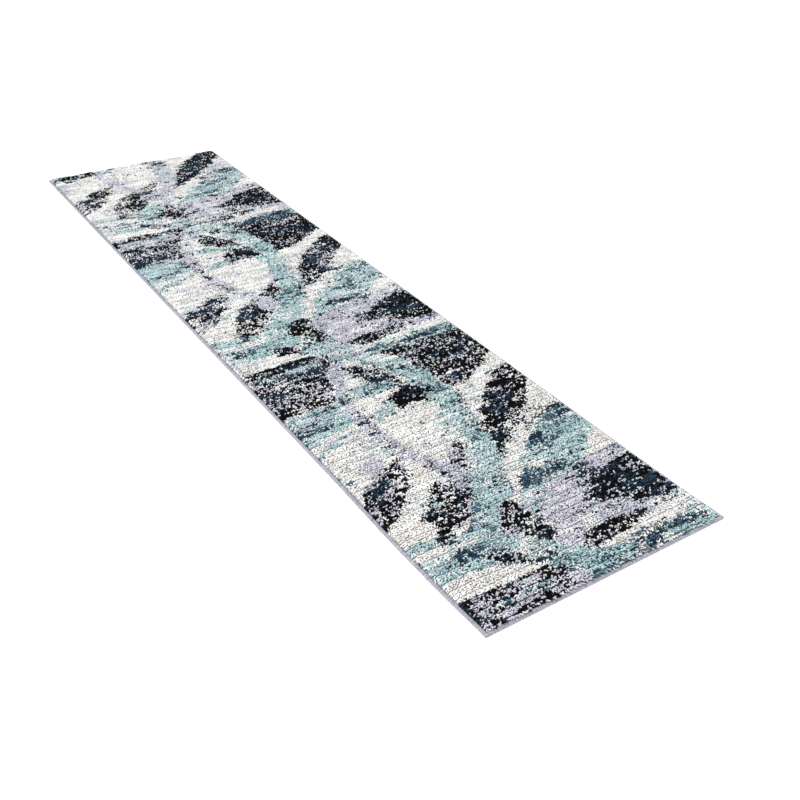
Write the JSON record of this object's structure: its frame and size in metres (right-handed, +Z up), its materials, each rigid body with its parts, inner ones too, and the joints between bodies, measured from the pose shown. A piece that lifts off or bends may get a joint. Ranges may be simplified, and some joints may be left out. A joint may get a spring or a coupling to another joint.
{
  "type": "runner rug",
  "caption": "Long narrow pile rug with an abstract design in ivory, aqua, teal, lavender, black and navy, a woven ground, a latex back and lavender-grey serged edges.",
  "frame": {"origin": "middle of the underside, on the floor", "axes": "+Y along the rug from the near end to the far end, +X across it to the right, +Z up out of the pile"},
  "size_m": [0.61, 2.44, 0.014],
  "materials": {
    "pile_ivory": "matt curled pile yarn",
    "pile_aqua": "matt curled pile yarn",
    "pile_teal": "matt curled pile yarn",
    "pile_lavender": "matt curled pile yarn",
    "pile_black": "matt curled pile yarn",
    "pile_navy": "matt curled pile yarn",
    "serging_yarn": "satin wrapped yarn",
    "cord_yarn": "matt twisted cord",
    "jute_weft": "coarse matt jute",
    "ground_warp": "matt spun yarn",
    "latex": "thin dull coating"
  },
  "bodies": {
    "root": {"latex_back_coating": "latex", "lower_weft_shots": "jute_weft", "upper_weft_shots": "jute_weft", "chain_warps": "ground_warp", "stuffer_warps": "ground_warp", "pile_ivory": "pile_ivory", "pile_aqua": "pile_aqua", "pile_teal": "pile_teal", "pile_lavender": "pile_lavender", "pile_black": "pile_black", "pile_navy": "pile_navy", "serging_left": "serging_yarn", "filler_cord_left": "cord_yarn", "serging_right": "serging_yarn", "filler_cord_right": "cord_yarn", "serging_near_end": "serging_yarn", "filler_cord_near_end": "cord_yarn", "serging_far_end": "serging_yarn", "filler_cord_far_end": "cord_yarn"}
  },
  "joints": []
}
